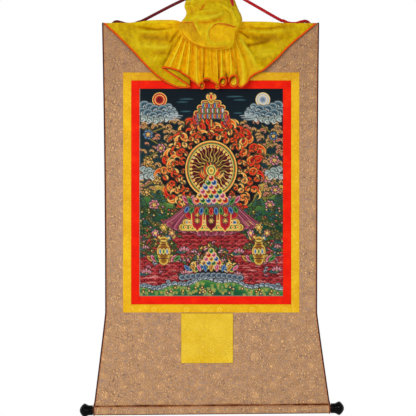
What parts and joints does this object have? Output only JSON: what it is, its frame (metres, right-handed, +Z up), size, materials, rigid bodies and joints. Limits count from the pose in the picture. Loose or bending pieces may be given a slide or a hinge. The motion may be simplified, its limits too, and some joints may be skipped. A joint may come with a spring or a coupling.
{
  "type": "thangka scroll painting with hanging rod and roller",
  "caption": "Hanging scroll of brocade, satin strips and a painted panel on a rod and a roller with turned knobs, its silk veil gathered up over the top, held by a cord.",
  "frame": {"origin": "bend of the hanging cord, where a nail holds it", "axes": "+Z up, +X to the viewer's right, the painted face looks along -Y"},
  "size_m": [0.6448, 0.0712, 1.0627],
  "materials": {
    "brocade": "tan and brown brocade with golden scrolls, low sheen",
    "yellow_satin": "golden yellow satin strips",
    "red_satin": "bright red satin strips",
    "painted_cotton": "painted cotton, matt, dark teal with reds and golds",
    "yellow_brocade": "yellow brocade with round medallions in its own tone",
    "maroon_binding": "dark maroon edge binding",
    "wood": "plain softwood",
    "black_lacquer": "turned wood with black gloss lacquer",
    "veil_silk": "thin shiny yellow silk with an orange-red overlocked hem",
    "cord_red": "dark red twisted satin cord",
    "ribbon_red": "bright red satin ribbon"
  },
  "bodies": {
    "root": {"heading_panel": "brocade", "side_panel_left": "brocade", "side_panel_right": "brocade", "skirt_panel": "brocade", "yellow_top": "yellow_satin", "yellow_bottom": "yellow_satin", "yellow_left": "yellow_satin", "yellow_right": "yellow_satin", "red_top": "red_satin", "red_bottom": "red_satin", "red_left": "red_satin", "red_right": "red_satin", "picture": "painted_cotton", "door_panel": "yellow_brocade", "binding_left": "maroon_binding", "binding_right": "maroon_binding", "top_batten": "wood", "roller": "wood", "knob_left": "black_lacquer", "knob_right": "black_lacquer", "veil": "veil_silk", "hanging_cord": "cord_red", "tie_ribbon": "ribbon_red"}
  },
  "joints": []
}
